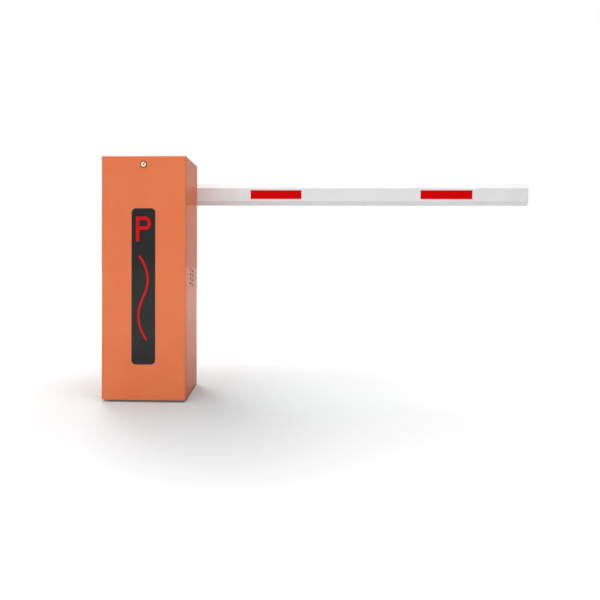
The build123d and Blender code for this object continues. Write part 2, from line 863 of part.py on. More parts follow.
# Hub that carries the boom holder on the shaft
with BuildPart() as boom_hub:
    with BuildSketch(Plane.XZ.offset(-hub_front_y)):
        with Locations((0, boom_axis_z)):
            Circle(hub_radius)
    extrude(amount=-(hub_back_y - hub_front_y))
    with BuildSketch(Plane.XZ.offset(-(hub_back_y - hub_flange_thickness))):
        with Locations((0, boom_axis_z)):
            Circle(hub_flange_radius)
    extrude(amount=-hub_flange_thickness)
    with BuildSketch(Plane.XZ.offset(-hub_front_y)):
        with Locations((0, boom_axis_z)):
            with PolarLocations(0, hub_rib_count, start_angle=45):
                Rectangle(2 * hub_rib_reach, hub_rib_width)
    extrude(amount=-(hub_back_y - hub_front_y))
    with BuildSketch(Plane.XZ.offset(-hub_front_y)):
        with Locations((0, boom_axis_z)):
            Circle(hub_flange_radius)
            Circle(hub_radius, mode=Mode.SUBTRACT)
    extrude(amount=-hub_rib_start, mode=Mode.SUBTRACT)
    with BuildSketch(Plane.XZ.offset(-hub_front_y)):
        with Locations((0, boom_axis_z)):
            Circle(shaft_radius)
    extrude(amount=-(hub_back_y - hub_front_y), mode=Mode.SUBTRACT)
save(boom_hub.part, "boom_hub")

# Boom holder, a channel around the root of the boom with ears for the clamp bolts
channel_inside = boom_height + 2 * holder_play
channel_half = channel_inside / 2 + holder_wall
ear_outer = channel_half + clamp_ear

holder_plane = Plane(
    origin=(-holder_length / 2, 0, boom_axis_z),
    x_dir=(0, 1, 0),
    z_dir=(1, 0, 0),
)

bolt_row_z = channel_half + clamp_ear / 2
bolt_spacing_x = (holder_length - 2 * clamp_ear) / (clamp_bolt_columns - 1)

with BuildPart() as boom_holder:
    with BuildSketch(holder_plane):
        with BuildLine():
            Polyline(
                (hub_back_y, -channel_half),
                (hub_back_y, channel_half),
                (boom_back_y - holder_wall, channel_half),
                (boom_back_y - holder_wall, ear_outer),
                (boom_back_y, ear_outer),
                (boom_back_y, channel_inside / 2),
                (hub_back_y + holder_wall, channel_inside / 2),
                (hub_back_y + holder_wall, -channel_inside / 2),
                (boom_back_y, -channel_inside / 2),
                (boom_back_y, -ear_outer),
                (boom_back_y - holder_wall, -ear_outer),
                (boom_back_y - holder_wall, -channel_half),
                close=True,
            )
        make_face()
    extrude(amount=holder_length)
    with BuildSketch(Plane.XZ.offset(-boom_back_y)):
        with Locations((0, boom_axis_z)):
            with GridLocations(bolt_spacing_x, 2 * bolt_row_z, clamp_bolt_columns, 2):
                Circle(clamp_hole_radius)
    extrude(amount=holder_wall, mode=Mode.SUBTRACT)
save(boom_holder.part, "boom_holder")

# Clamp plate behind the boom, with two pressed stiffening ribs
with BuildPart() as clamp_plate:
    with BuildSketch(Plane.XZ.offset(-(boom_back_y + holder_wall))):
        with Locations((0, boom_axis_z)):
            Rectangle(holder_length, 2 * ear_outer)
            with GridLocations(bolt_spacing_x, 2 * bolt_row_z, clamp_bolt_columns, 2):
                Circle(clamp_hole_radius, mode=Mode.SUBTRACT)
    extrude(amount=holder_wall)
    with BuildSketch(Plane.XZ.offset(-(boom_back_y + holder_wall + pressed_rib_rise))):
        with Locations((0, boom_axis_z)):
            with Locations((0, -boom_height / 4), (0, boom_height / 4)):
                SlotOverall(holder_length - 2 * clamp_ear, pressed_rib_width)
    extrude(amount=pressed_rib_rise)
save(clamp_plate.part, "clamp_plate")


def boom_outline(inset):
    half_y = boom_depth / 2 - inset
    half_z = boom_height / 2 - inset
    flat_y = boom_depth / 2 - boom_bevel_depth
    flat_z = boom_height / 2 - boom_bevel_height
    return Polyline(
        (-half_y, -flat_z),
        (-half_y, flat_z),
        (-flat_y, half_z),
        (flat_y, half_z),
        (half_y, flat_z),
        (half_y, -flat_z),
        (flat_y, -half_z),
        (-flat_y, -half_z),
        close=True,
    )


boom_plane = Plane(
    origin=(boom_root_x, boom_front_y + boom_depth / 2, boom_axis_z),
    x_dir=(0, 1, 0),
    z_dir=(1, 0, 0),
)
boom_length = boom_tip_x - boom_root_x

# Boom tube, an eight-sided aluminium section
with BuildPart() as boom_tube:
    with BuildSketch(boom_plane.offset(cap_thickness)):
        with BuildLine():
            boom_outline(0)
        make_face()
        with BuildLine():
            boom_outline(boom_wall)
        make_face(mode=Mode.SUBTRACT)
    extrude(amount=boom_length - 2 * cap_thickness)
save(boom_tube.part, "boom_tube")


def end_cap(plane, name):
    with BuildPart() as cap:
        with BuildSketch(plane):
            with BuildLine():
                boom_outline(0)
            make_face()
        extrude(amount=cap_thickness)
        with BuildSketch(plane.offset(cap_thickness)):
            with BuildLine():
                boom_outline(boom_wall + cap_plug_play)
            make_face()
        extrude(amount=cap_plug_length)
    save(cap.part, name)


end_cap(boom_plane, "root_cap")
tip_plane = Plane(
    origin=(boom_tip_x, boom_front_y + boom_depth / 2, boom_axis_z),
    x_dir=(0, 1, 0),
    z_dir=(-1, 0, 0),
)
end_cap(tip_plane, "tip_cap")


def stripes(face_y, name):
    with BuildPart() as films:
        with BuildSketch(Plane.XZ.offset(-face_y)):
            for number in range(stripe_count):
                start_x = stripe_first_x + number * stripe_pitch
                with Locations((start_x + stripe_length / 2, boom_axis_z)):
                    Rectangle(stripe_length, stripe_height)
        extrude(amount=stripe_thickness)
    save(films.part, name)


# Red reflective stripes on both flats of the boom
stripes(boom_front_y, "front_stripes")
stripes(boom_back_y + stripe_thickness, "back_stripes")
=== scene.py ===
import json
from contextlib import contextmanager
from itertools import product
from math import cos, pi, radians, sin

import bmesh
import bpy
from mathutils import Matrix, Vector


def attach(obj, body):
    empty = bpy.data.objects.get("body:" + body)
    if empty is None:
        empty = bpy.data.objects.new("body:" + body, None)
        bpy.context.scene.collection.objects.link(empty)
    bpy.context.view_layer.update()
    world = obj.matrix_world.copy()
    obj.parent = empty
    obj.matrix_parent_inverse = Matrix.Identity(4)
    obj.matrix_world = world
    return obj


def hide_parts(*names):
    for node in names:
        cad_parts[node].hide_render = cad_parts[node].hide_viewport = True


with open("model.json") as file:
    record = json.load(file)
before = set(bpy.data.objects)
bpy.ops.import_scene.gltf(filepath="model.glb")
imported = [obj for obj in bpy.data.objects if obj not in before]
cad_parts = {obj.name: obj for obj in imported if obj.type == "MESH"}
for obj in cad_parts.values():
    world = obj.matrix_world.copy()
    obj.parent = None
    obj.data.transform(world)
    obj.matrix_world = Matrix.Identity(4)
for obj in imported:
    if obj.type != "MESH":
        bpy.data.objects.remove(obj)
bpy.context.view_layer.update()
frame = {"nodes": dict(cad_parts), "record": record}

# The scene is in metres, in the model's frame: X along the lowered boom, Y from the door
# to the back, Z up. The small pieces are drawn in millimetres in the same frame.
MM = 0.001


# Materials

# Scale and detail of the noises
PAINT_CLOUD = (6, 3)
PAINT_PEEL = (420, 2)
PLASTIC_CLOUD = (25, 3)
PLASTIC_GRAIN = (900, 2)
LIGHT_CLOUD = (60, 2)
METAL_CLOUD_DETAIL = 4
METAL_GRAIN_FINER = 8
METAL_GRAIN_DETAIL = 3
# Where the ramp over a noise starts and ends
NOISE_LOW = 0.3
NOISE_HIGH = 0.7
# Height of the bumps, in metres
COARSE_BUMP = 0.0003
FINE_BUMP = 0.0002
PEEL_DEPTH = 0.12
COAT_ROUGHNESS = 0.03
LIGHT_STRENGTH = 0.15
LIGHT_BRIGHTER = 1.15
LIGHT_ROUGHNESS = 0.25
LIGHT_GLOSS = 0.1
FILM_CELLS = 260
FILM_CELL_CENTRE = 0.2
FILM_CELL_DEPTH = 0.1
FILM_ROUGHNESS = 0.3
FILM_GLOSS = 0.05


def show(made, surface):
    """Puts an object in the scene with its material."""
    bpy.context.scene.collection.objects.link(made)
    made.data.materials.append(surface)


def material(name):
    made = bpy.data.materials.new(name)
    made.use_nodes = True
    shader = made.node_tree.nodes["Principled BSDF"]
    return made, made.node_tree, shader


def linear(value):
    """A display value, 0 to 255, as linear light."""
    value /= 255
    return value / 12.92 if value <= 0.04045 else ((value + 0.055) / 1.055) ** 2.4


def colour(red, green, blue):
    """A display colour as linear RGBA."""
    return (linear(red), linear(green), linear(blue), 1)


def add(tree, kind, **settings):
    node = tree.nodes.new(kind)
    for name, value in settings.items():
        setattr(node, name, value)
    return node


def own_coordinates(tree):
    return add(tree, "ShaderNodeTexCoord").outputs["Object"]


def noise(tree, scale, detail):
    """Noise over the object's own coordinates, as a factor socket."""
    texture = add(tree, "ShaderNodeTexNoise")
    texture.inputs["Scale"].default_value = scale
    texture.inputs["Detail"].default_value = detail
    tree.links.new(own_coordinates(tree), texture.inputs["Vector"])
    return texture.outputs["Fac"]


def ramp(tree, factor, low, high, start=NOISE_LOW, end=NOISE_HIGH):
    """A colour or grey value between low and high, following factor."""
    node = add(tree, "ShaderNodeValToRGB")
    for element, shade, place in zip(node.color_ramp.elements, (low, high), (start, end)):
        element.position = place
        element.color = shade if hasattr(shade, "__len__") else (shade, shade, shade, 1)
    tree.links.new(factor, node.inputs["Fac"])
    return node.outputs["Color"]


def bump(tree, shader, height, strength, distance):
    node = add(tree, "ShaderNodeBump")
    node.inputs["Strength"].default_value = strength
    node.inputs["Distance"].default_value = distance
    tree.links.new(height, node.inputs["Height"])
    tree.links.new(node.outputs["Normal"], shader.inputs["Normal"])


def painted(name, low, high, roughness, coat):
    """Powder coat: faint cloudiness in colour, fine orange peel, a glossy film on top."""
    made, tree, shader = material(name)
    cloud = noise(tree, *PAINT_CLOUD)
    tree.links.new(ramp(tree, cloud, low, high), shader.inputs["Base Color"])
    peel = noise(tree, *PAINT_PEEL)
    tree.links.new(ramp(tree, peel, *roughness), shader.inputs["Roughness"])
    bump(tree, shader, peel, PEEL_DEPTH, COARSE_BUMP)
    shader.inputs["Coat Weight"].default_value = coat
    shader.inputs["Coat Roughness"].default_value = COAT_ROUGHNESS
    shader.inputs["Specular IOR Level"].default_value = 0
    return made


def metal(name, low, high, roughness, scale=60, depth=0.15):
    """Bare or plated metal: one noise clouds both colour and polish, a finer one its grain."""
    made, tree, shader = material(name)
    shader.inputs["Metallic"].default_value = 1
    cloud = noise(tree, scale, METAL_CLOUD_DETAIL)
    tree.links.new(ramp(tree, cloud, low, high), shader.inputs["Base Color"])
    tree.links.new(ramp(tree, cloud, *roughness), shader.inputs["Roughness"])
    grain = noise(tree, scale * METAL_GRAIN_FINER, METAL_GRAIN_DETAIL)
    bump(tree, shader, grain, depth, FINE_BUMP)
    return made


def plastic(name, low, high, roughness, depth=0.1, gloss=0.5):
    """Moulded plastic with a fine grain."""
    made, tree, shader = material(name)
    shader.inputs["Specular IOR Level"].default_value = gloss
    cloud = noise(tree, *PLASTIC_CLOUD)
    tree.links.new(ramp(tree, cloud, low, high), shader.inputs["Base Color"])
    grain = noise(tree, *PLASTIC_GRAIN)
    tree.links.new(ramp(tree, grain, *roughness), shader.inputs["Roughness"])
    bump(tree, shader, grain, depth, FINE_BUMP)
    return made


def light_guide(name, shade):
    """Light guide, lit from behind, with spots that are a little brighter."""
    made, tree, shader = material(name)
    brighter = [min(1, LIGHT_BRIGHTER * part) for part in shade[:3]] + [1]
    glow = ramp(tree, noise(tree, *LIGHT_CLOUD), shade, brighter)
    tree.links.new(glow, shader.inputs["Base Color"])
    tree.links.new(glow, shader.inputs["Emission Color"])
    shader.inputs["Emission Strength"].default_value = LIGHT_STRENGTH
    shader.inputs["Specular IOR Level"].default_value = LIGHT_GLOSS
    shader.inputs["Roughness"].default_value = LIGHT_ROUGHNESS
    return made


def film(name, shade, dark):
    """Retroreflective film with its fine diamond cells."""
    made, tree, shader = material(name)
    cells = add(tree, "ShaderNodeTexVoronoi", distance="MANHATTAN")
    cells.inputs["Scale"].default_value = FILM_CELLS
    cells.inputs["Randomness"].default_value = 0
    tree.links.new(own_coordinates(tree), cells.inputs["Vector"])
    reach = cells.outputs["Distance"]
    faded = ramp(tree, reach, shade, dark, FILM_CELL_CENTRE, 1)
    tree.links.new(faded, shader.inputs["Base Color"])
    bump(tree, shader, reach, FILM_CELL_DEPTH, COARSE_BUMP)
    shader.inputs["Roughness"].default_value = FILM_ROUGHNESS
    shader.inputs["Specular IOR Level"].default_value = FILM_GLOSS
    return made


# Maker, name, display colours between which it varies, roughness range and further settings
FINISHES = (
    (painted, "orange_paint", (218, 114, 70), (223, 119, 75), (0.32, 0.4), {"coat": 0.34}),
    (painted, "dark_steel", (40, 34, 32), (54, 46, 43), (0.4, 0.5), {"coat": 0.2}),
    (painted, "boom_paint", (218, 219, 220), (223, 223, 223), (0.35, 0.42), {"coat": 0.3}),
    (painted, "motor_paint", (44, 52, 66), (52, 60, 74), (0.4, 0.5), {"coat": 0.3}),
    (metal, "zinc_steel", (160, 163, 168), (188, 190, 194), (0.28, 0.42), {}),
    (
        metal, "cast_aluminium", (150, 152, 154), (172, 174, 176), (0.45, 0.6),
        {"scale": 120, "depth": 0.5},
    ),
    (metal, "chrome", (222, 212, 190), (236, 225, 203), (0.08, 0.16), {}),
    (metal, "spring_steel", (60, 60, 64), (84, 84, 88), (0.25, 0.4), {}),
    (
        plastic, "dark_pane", (22, 23, 23), (27, 28, 28), (0.08, 0.12),
        {"depth": 0.01, "gloss": 0.22},
    ),
    (plastic, "black_plastic", (22, 22, 22), (30, 30, 30), (0.45, 0.6), {}),
    (plastic, "grey_plastic", (128, 130, 132), (142, 144, 146), (0.4, 0.5), {}),
    (plastic, "green_plastic", (34, 104, 62), (42, 116, 70), (0.4, 0.5), {}),
    (plastic, "white_plastic", (205, 205, 203), (214, 214, 212), (0.4, 0.5), {}),
)
SURFACES = {
    name: maker(name, colour(*low), colour(*high), roughness, **settings)
    for maker, name, low, high, roughness, settings in FINISHES
}
SURFACES["red_film"] = film("red_film", colour(216, 2, 3), colour(196, 1, 2))
SURFACES["red_light"] = light_guide("red_light", colour(188, 4, 6))

for subpart in frame["record"]["subparts"]:
    slots = frame["nodes"][subpart["node"]].data.materials
    slots.clear()
    slots.append(SURFACES[subpart["material_slot"]])


# Tools for the small pieces, in millimetres

SMOOTH_BELOW = radians(35)
BEVEL_ABOVE = radians(50)
BEVEL_STEPS = 2
CORNER_STEPS = 6
LATHE_SIDES = 24
THREAD_BEVEL = 1

# For a thread of 1 mm: sizes of the hexagon, and turned heads as radius and height
HEX_ACROSS_FLATS = 1.7
HEX_FOOT = 0.16
HEX_TOP = 0.85
WASHER = ((0, 0), (1, 0), (1, 0.12), (0.95, 0.16), (0, 0.16))
HEX_CROWN = ((0, 0.85), (0.8, 0.85), (0.72, 0.92), (0, 0.92))
CAP_HEAD = ((0, 0), (0.75, 0), (0.75, 0.92), (0.68, 1), (0.42, 1), (0.42, 0.5), (0, 0.45))
BUTTON_HEAD = (
    (0, 0), (0.95, 0), (0.9, 0.2), (0.7, 0.4), (0.45, 0.52), (0.3, 0.54), (0.3, 0.25), (0, 0.22),
)
M4 = 4
M5 = 5
M6 = 6
M8 = 8
M10 = 10
M12 = 12


def facing(*direction):
    """Gives the function that makes a frame at x, y, z whose Z points along direction."""
    turn = Vector(direction).to_track_quat("Z", "Y").to_matrix().to_4x4()
    return lambda x, y, z: Matrix.Translation((x, y, z)) @ turn


right = facing(1, 0, 0)
front = facing(0, -1, 0)
back = facing(0, 1, 0)
upward = facing(0, 0, 1)
downward = facing(0, 0, -1)


def circle(radius, sides, start=0.0):
    turns = [2 * pi * k / sides + start for k in range(sides)]
    return [(radius * cos(turn), radius * sin(turn)) for turn in turns]


def rounded(width, height, radius):
    """The corners of a rounded rectangle, anticlockwise."""
    points = []
    for turn, (across, up) in enumerate(((1, 1), (-1, 1), (-1, -1), (1, -1))):
        for step in range(CORNER_STEPS + 1):
            angle = pi / 2 * (turn + step / CORNER_STEPS)
            points.append((
                across * (width / 2 - radius) + radius * cos(angle),
                up * (height / 2 - radius) + radius * sin(angle),
            ))
    return points


def box(low_x, high_x, low_y, high_y):
    return [(low_x, low_y), (high_x, low_y), (high_x, high_y), (low_x, high_y)]


def hexagon(across_flats):
    return circle(across_flats / cos(pi / 6) / 2, 6)


def loop(mesh, outline, height, where):
    return [mesh.verts.new(where @ Vector((x, y, height))) for x, y in outline]


def walls(mesh, first, second):
    count = len(first)
    for k in range(count):
        following = (k + 1) % count
        mesh.faces.new((first[k], first[following], second[following], second[k]))


def prism(mesh, outline, low, high, where):
    foot = loop(mesh, outline, low, where)
    head = loop(mesh, outline, high, where)
    walls(mesh, foot, head)
    mesh.faces.new(foot)
    mesh.faces.new(head)


def ring(mesh, outer, inner, low, high, where):
    corners = ((outer, low), (outer, high), (inner, high), (inner, low))
    loops = [loop(mesh, outline, height, where) for outline, height in corners]
    for first, second in zip(loops, loops[1:] + loops[:1]):
        walls(mesh, first, second)


def lathe(mesh, profile, where, size=1):
    """A solid turned from (radius, height) points that start and end on the axis."""
    start, *middle, end = [(radius * size, height * size) for radius, height in profile]
    rings = [
        loop(mesh, circle(radius, LATHE_SIDES), height, where) for radius, height in middle
    ]
    for first, second in zip(rings, rings[1:]):
        walls(mesh, first, second)
    for (_, height), edge in ((start, rings[0]), (end, rings[-1])):
        tip = mesh.verts.new(where @ Vector((0, 0, height)))
        for k in range(LATHE_SIDES):
            mesh.faces.new((edge[k], edge[(k + 1) % LATHE_SIDES], tip))


def screws(mesh, head, size, side, face, across, up):
    """Screw heads in a grid of X and Z places, on a face toward the front or the back."""
    for x, z in product(across, up):
        lathe(mesh, head, side(x, face, z), size)


def hex_head(mesh, where, size, thread=0):
    """A washer and a hexagon head or nut on it, with thread that stands out of a nut."""
    lathe(mesh, WASHER, where, size)
    high = HEX_TOP * size
    prism(mesh, hexagon(HEX_ACROSS_FLATS * size), HEX_FOOT * size, high, where)
    lathe(mesh, HEX_CROWN, where, size)
    if thread:
        radius = size / 2
        end = high + thread
        lathe(
            mesh,
            (
                (0, high), (radius, high), (radius, end - THREAD_BEVEL),
                (radius - THREAD_BEVEL, end), (0, end),
            ),
            where,
        )


@contextmanager
def piece(name, body, slot_name, edge=0.25, surface=None):
    """Gives a mesh to draw in, and makes it a named piece that rides on a body."""
    mesh = bmesh.new()
    yield mesh
    bmesh.ops.recalc_face_normals(mesh, faces=mesh.faces)
    mesh.transform(Matrix.Scale(MM, 4))
    data = bpy.data.meshes.new(name)
    mesh.to_mesh(data)
    mesh.free()
    for face in data.polygons:
        face.use_smooth = True
    data.set_sharp_from_angle(angle=SMOOTH_BELOW)
    made = bpy.data.objects.new(name, data)
    if edge:
        bevel = made.modifiers.new("edges", "BEVEL")
        bevel.width = edge * MM
        bevel.segments = BEVEL_STEPS
        bevel.limit_method = "ANGLE"
        bevel.angle_limit = BEVEL_ABOVE
    show(made, SURFACES[surface or slot_name])
    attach(made, body)


# Small pieces

# Y of the faces that they sit on, from the front to the back
LOCK_FACE = -146
DOOR_FRONT = -142.5
SEAL_BACK = -137
DISPLAY_BOX_BACK = -112.5
SHAFT_WASHER_FRONT = -62
SPRING_CUP_FRONT = -59
COVER_FRONT = -8
BREAKER_NOSE = 12.5
UNIT_FACE = 30
BREAKER_SHOULDER = 30.5
TERMINAL_FACE = 38.5
GEARBOX_FLANGE = 64
DRIVE_PLATE = 78
CONTROL_PANEL = 82
BEARING_FLANGE = 96
CABINET_BACK = 142.5
HUB_FLANGE = 173.5
HOLDER_EARS = 229
CLAMP_PLATE = 241

# Height of the shaft and the boom, and the upright axis that worm and motor share
AXIS_Z = 880
WORM_X = 56
WORM_Y = 34

# How far thin pieces reach into the face under them
SUNK = -0.2
BREAKER_SUNK = -0.3

# Clamp bolts of the boom holder, through the plate behind the boom and the ears in front
CLAMP_X = (-86, 0, 86)
CLAMP_Z = (AXIS_Z - 68.5, AXIS_Z + 68.5)
CLAMP_THREAD = 5
CLAMP_SHANK = ((0, -12), (5, -12), (5, 0.5), (0, 0.5))

with piece("clamp_bolts", "boom", "zinc_steel") as mesh:
    for x, z in product(CLAMP_X, CLAMP_Z):
        hex_head(mesh, back(x, CLAMP_PLATE, z), M10)
        hex_head(mesh, front(x, HOLDER_EARS, z), M10, CLAMP_THREAD)
        lathe(mesh, CLAMP_SHANK, back(x, CLAMP_PLATE, z))

# Screws between the hub's flange and the holder, and the one on the end of the shaft
HUB_SCREW_CIRCLE = 41
HUB_SCREW_COUNT = 4
SHAFT_WASHER_RADIUS = 19

with piece("hub_screws", "boom", "zinc_steel") as mesh:
    for x, z in circle(HUB_SCREW_CIRCLE, HUB_SCREW_COUNT):
        lathe(mesh, CAP_HEAD, front(x, HUB_FLANGE, AXIS_Z + z), M8)
    lathe(mesh, WASHER, front(0, SPRING_CUP_FRONT, AXIS_Z), SHAFT_WASHER_RADIUS)
    hex_head(mesh, front(0, SHAFT_WASHER_FRONT, AXIS_Z), M12)

# Gearbox, cover, motor and bearing screws, and the plug on the worm's column
GEARBOX_SCREWS = ((-62, 72), (-62, -72), (-8, 77), (-8, -77))
COVER_SCREW_CIRCLE = 48
COVER_SCREW_COUNT = 6
COVER_SCREW_START = pi / 6
MOTOR_SCREW_X = (WORM_X - 33, WORM_X + 33)
MOTOR_SCREW_Y = (WORM_Y - 33, WORM_Y + 33)
MOTOR_FLANGE_LOW = 785
MOTOR_FLANGE_HIGH = 805
MOTOR_THREAD = 3
BEARING_SCREW_X = (-36, 36)
BEARING_SCREW_Z = (AXIS_Z - 36, AXIS_Z + 36)
WORM_COLUMN_TOP = 965
OIL_PLUG = ((0, 0), (11, 0), (11, 3), (7, 4), (7, 9), (0, 9))

with piece("drive_screws", "cabinet", "zinc_steel") as mesh:
    for x, z in GEARBOX_SCREWS:
        lathe(mesh, CAP_HEAD, front(x, GEARBOX_FLANGE, AXIS_Z + z), M8)
    for x, z in circle(COVER_SCREW_CIRCLE, COVER_SCREW_COUNT, COVER_SCREW_START):
        lathe(mesh, CAP_HEAD, front(x, COVER_FRONT, AXIS_Z + z), M5)
    for x, y in product(MOTOR_SCREW_X, MOTOR_SCREW_Y):
        hex_head(mesh, downward(x, y, MOTOR_FLANGE_LOW), M6)
        hex_head(mesh, upward(x, y, MOTOR_FLANGE_HIGH), M6, MOTOR_THREAD)
    screws(mesh, CAP_HEAD, M8, back, BEARING_FLANGE, BEARING_SCREW_X, BEARING_SCREW_Z)
    lathe(mesh, OIL_PLUG, upward(WORM_X, WORM_Y, WORM_COLUMN_TOP))

# Bolts that hold the drive plate and the control panel to the uprights
PLATE_BOLT_X = (-152, 152)
PLATE_BOLT_Z = (785, 865, 945)
PANEL_SCREW_X = (-140, 140)
PANEL_SCREW_Z = (290, 435, 580)

with piece("frame_bolts", "cabinet", "zinc_steel") as mesh:
    for x, z in product(PLATE_BOLT_X, PLATE_BOLT_Z):
        hex_head(mesh, front(x, DRIVE_PLATE, z), M8)
    screws(mesh, BUTTON_HEAD, M5, front, CONTROL_PANEL, PANEL_SCREW_X, PANEL_SCREW_Z)

# Back panel screws
BACK_SCREW_X = (-160, 160)
BACK_SCREW_Z = (26, 266, 506, 746, 986)

with piece("back_screws", "cabinet", "zinc_steel") as mesh:
    screws(mesh, BUTTON_HEAD, M5, back, CABINET_BACK, BACK_SCREW_X, BACK_SCREW_Z)

# Lid, screws and cable glands of the motor's terminal box
TERMINAL_BOX_SIDE = 129
TERMINAL_BOX_Z = 720
TERMINAL_BOX_FOOT = 685
LID_SHAPE = rounded(54, 68, 5)
LID_THICKNESS = 4
LID_SCREW_Y = (WORM_Y - 22, WORM_Y + 22)
LID_SCREW_Z = (TERMINAL_BOX_Z - 29, TERMINAL_BOX_Z + 29)
GLAND_X = 111
GLAND_Y = (WORM_Y - 14, WORM_Y + 14)
GLAND_ACROSS_FLATS = 20
GLAND_HEX_HEIGHT = 6
GLAND = ((0, 6), (8.5, 6), (8.5, 12), (6.5, 16), (4, 17), (4, 14), (0, 14))

with piece("terminal_lid", "cabinet", "motor_paint", edge=0.8) as mesh:
    prism(mesh, LID_SHAPE, 0, LID_THICKNESS, right(TERMINAL_BOX_SIDE, WORM_Y, TERMINAL_BOX_Z))
with piece("lid_screws", "cabinet", "zinc_steel") as mesh:
    for y, z in product(LID_SCREW_Y, LID_SCREW_Z):
        lathe(mesh, BUTTON_HEAD, right(TERMINAL_BOX_SIDE + LID_THICKNESS, y, z), M4)
with piece("cable_glands", "cabinet", "black_plastic") as mesh:
    for y in GLAND_Y:
        under_box = downward(GLAND_X, y, TERMINAL_BOX_FOOT)
        prism(mesh, hexagon(GLAND_ACROSS_FLATS), 0, GLAND_HEX_HEIGHT, under_box)
        lathe(mesh, GLAND, under_box)

# Fan grille under the motor's cap
MOTOR_CAP_FOOT = 601
GRILLE_RADII = (8, 14, 20, 26)
GRILLE_WIDTH = 2.4
GRILLE_SUNK = -0.5
GRILLE_DEPTH = 1.2
GRILLE_SIDES = 32

with piece("fan_grille", "cabinet", "motor_paint", edge=0.2) as mesh:
    under_cap = downward(WORM_X, WORM_Y, MOTOR_CAP_FOOT)
    for radius in GRILLE_RADII:
        outer = circle(radius, GRILLE_SIDES)
        inner = circle(radius - GRILLE_WIDTH, GRILLE_SIDES)
        ring(mesh, outer, inner, GRILLE_SUNK, GRILLE_DEPTH, under_cap)

# Balance spring, three smooth turns of round wire between closed ends
SPRING_BACK_Y = -11.5
SPRING_LENGTH = 34.5
SPRING_RADIUS = 33
SPRING_WIRE_RADIUS = 3.5
SPRING_WIRE_STEPS = 5
SPRING_TURNS = 3
SPRING_STEPS = 48 * SPRING_TURNS

coil = bpy.data.curves.new("spring_coil", "CURVE")
coil.dimensions = "3D"
coil.bevel_depth = SPRING_WIRE_RADIUS * MM
coil.bevel_resolution = SPRING_WIRE_STEPS
coil.use_fill_caps = True
line = coil.splines.new("POLY")
line.points.add(SPRING_STEPS)
for step, point in enumerate(line.points):
    angle = 2 * pi * SPRING_TURNS * step / SPRING_STEPS
    place = Vector((
        SPRING_RADIUS * cos(angle),
        SPRING_BACK_Y - SPRING_LENGTH * step / SPRING_STEPS,
        AXIS_Z + SPRING_RADIUS * sin(angle),
    )) * MM
    point.co = (*place, 1)
spring = bpy.data.objects.new("spring_coil", coil)
show(spring, SURFACES["spring_steel"])
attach(spring, "cabinet")
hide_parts("balance_spring")

# Pin that holds the spring's back end on the gearbox cover
SPRING_PIN_X = 43
SPRING_PIN_Z = AXIS_Z - 4
SPRING_PIN = ((0, 0), (4, 0), (4, 9), (5.5, 9), (5.5, 11), (0, 11))

with piece("spring_pin", "cabinet", "zinc_steel") as mesh:
    lathe(mesh, SPRING_PIN, front(SPRING_PIN_X, COVER_FRONT, SPRING_PIN_Z))

# Clips on the hinge pins
HINGE_CLIP_X = (-139.6, 138.6)
HINGE_PIN_Y = -127.5
HINGE_PIN_Z = 19
HINGE_CLIP = ((0, 0), (6, 0), (6, 1), (0, 1))

with piece("hinge_clips", "cabinet", "dark_steel", edge=0.1) as mesh:
    for x in HINGE_CLIP_X:
        lathe(mesh, HINGE_CLIP, right(x, HINGE_PIN_Y, HINGE_PIN_Z))

# Foam seal inside the door, up both sides and along the head
SEAL_THICKNESS = 3.5
SEAL_STRIPS = (
    box(-166, -160, 30, 992),
    box(160, 166, 30, 992),
    box(-166, 166, 992, 999),
)

with piece("door_seal", "door", "black_plastic", edge=0.8) as mesh:
    for strip in SEAL_STRIPS:
        prism(mesh, strip, 0, SEAL_THICKNESS, front(0, SEAL_BACK, 0))

# Gasket round the display's pane, black, which also stands in as painted shade for the gap round
# the pane, and the screws behind its box
PANE_Z = 473.5
GASKET_OUTSIDE = rounded(97.4, 637.4, 17.7)
GASKET_INSIDE = rounded(92.6, 632.6, 15.3)
GASKET_RISE = 0.35
DISPLAY_SCREW_X = (-48, 48)
DISPLAY_SCREW_Z = (158, 316, 474, 632, 790)

# Black gasket: a real part that also paints the shade of the gap round the pane
with piece("pane_gasket_and_shade", "door", "black_plastic", edge=0.1) as mesh:
    ring(mesh, GASKET_OUTSIDE, GASKET_INSIDE, SUNK, GASKET_RISE, front(0, DOOR_FRONT, PANE_Z))
with piece("display_screws", "door", "zinc_steel") as mesh:
    screws(mesh, BUTTON_HEAD, M4, back, DISPLAY_BOX_BACK, DISPLAY_SCREW_X, DISPLAY_SCREW_Z)

# Face of the lock: the core's pin and a dark mark toward its upper right
LOCK_Z = 971
LOCK_PIN = ((0, 0), (2.4, 0), (2.4, 0.8), (0, 1))
LOCK_MARK = ((2.6, 4.6), (4.6, 2.6), (8.6, 5.2), (5.2, 8.6))
LOCK_MARK_RISE = 0.3

with piece("lock_face", "door", "dark_steel", edge=0.1) as mesh:
    lathe(mesh, LOCK_PIN, front(0, LOCK_FACE, LOCK_Z))
    prism(mesh, LOCK_MARK, SUNK, LOCK_MARK_RISE, front(0, LOCK_FACE, LOCK_Z))

